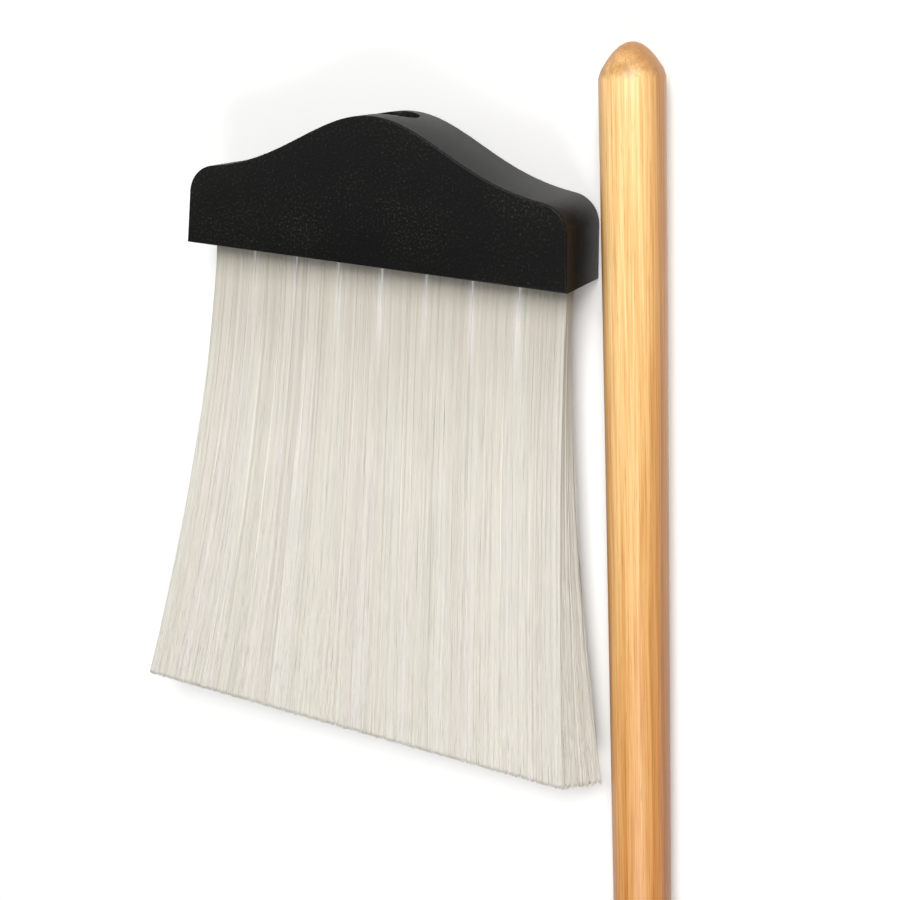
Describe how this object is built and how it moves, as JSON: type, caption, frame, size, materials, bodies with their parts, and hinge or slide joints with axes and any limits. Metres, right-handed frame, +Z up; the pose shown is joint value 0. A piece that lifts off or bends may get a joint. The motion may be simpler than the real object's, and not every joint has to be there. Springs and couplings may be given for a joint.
{
  "type": "bee brush",
  "caption": "Long soft-bristled bee brush: arched moulded block with a tapered socket and full-width nylon tufts, and its loose domed wooden push-in handle laid alongside.",
  "frame": {"origin": "On the surface the kit lies on, in the middle of the width of the block's flat back face, 22 mm up from the underside from which the bristles grow", "axes": "+X along the block's width towards the handle's side, +Y from the bristles to the crown, +Z up out of the block's front face"},
  "size_m": [0.3255, 0.7565, 0.042],
  "materials": {
    "black_polypropylene": "fine-grained satin, near black",
    "nylon_bristle": "translucent off-white filaments with a soft sheen",
    "varnished_wood": "clear varnish over straight grain"
  },
  "bodies": {
    "block": {"head_block": "black_polypropylene", "tuft_root_front_1": "nylon_bristle", "tuft_root_front_2": "nylon_bristle", "tuft_root_front_3": "nylon_bristle", "tuft_root_front_4": "nylon_bristle", "tuft_root_front_5": "nylon_bristle", "tuft_root_front_6": "nylon_bristle", "tuft_root_front_7": "nylon_bristle", "tuft_root_front_8": "nylon_bristle", "tuft_root_back_1": "nylon_bristle", "tuft_root_back_2": "nylon_bristle", "tuft_root_back_3": "nylon_bristle", "tuft_root_back_4": "nylon_bristle", "tuft_root_back_5": "nylon_bristle", "tuft_root_back_6": "nylon_bristle", "tuft_root_back_7": "nylon_bristle", "tuft_root_back_8": "nylon_bristle"},
    "bristles": {"tuft_front_1": "nylon_bristle", "tuft_front_2": "nylon_bristle", "tuft_front_3": "nylon_bristle", "tuft_front_4": "nylon_bristle", "tuft_front_5": "nylon_bristle", "tuft_front_6": "nylon_bristle", "tuft_front_7": "nylon_bristle", "tuft_front_8": "nylon_bristle", "tuft_back_1": "nylon_bristle", "tuft_back_2": "nylon_bristle", "tuft_back_3": "nylon_bristle", "tuft_back_4": "nylon_bristle", "tuft_back_5": "nylon_bristle", "tuft_back_6": "nylon_bristle", "tuft_back_7": "nylon_bristle", "tuft_back_8": "nylon_bristle"},
    "handle": {"handle": "varnished_wood"}
  },
  "joints": [
    {"name": "bristle_flex", "type": "hinge", "parent": "block", "child": "bristles", "pos_m": [0, -0.0583, 0.021], "axis": [-1, 0, 0], "range_deg": [0, 25], "stiffness_Nm_per_rad": 6},
    {"name": "handle_lift", "type": "slide", "parent": "block", "child": "handle", "axis": [0, 0, 1], "range_m": [0, 0.09]}
  ]
}
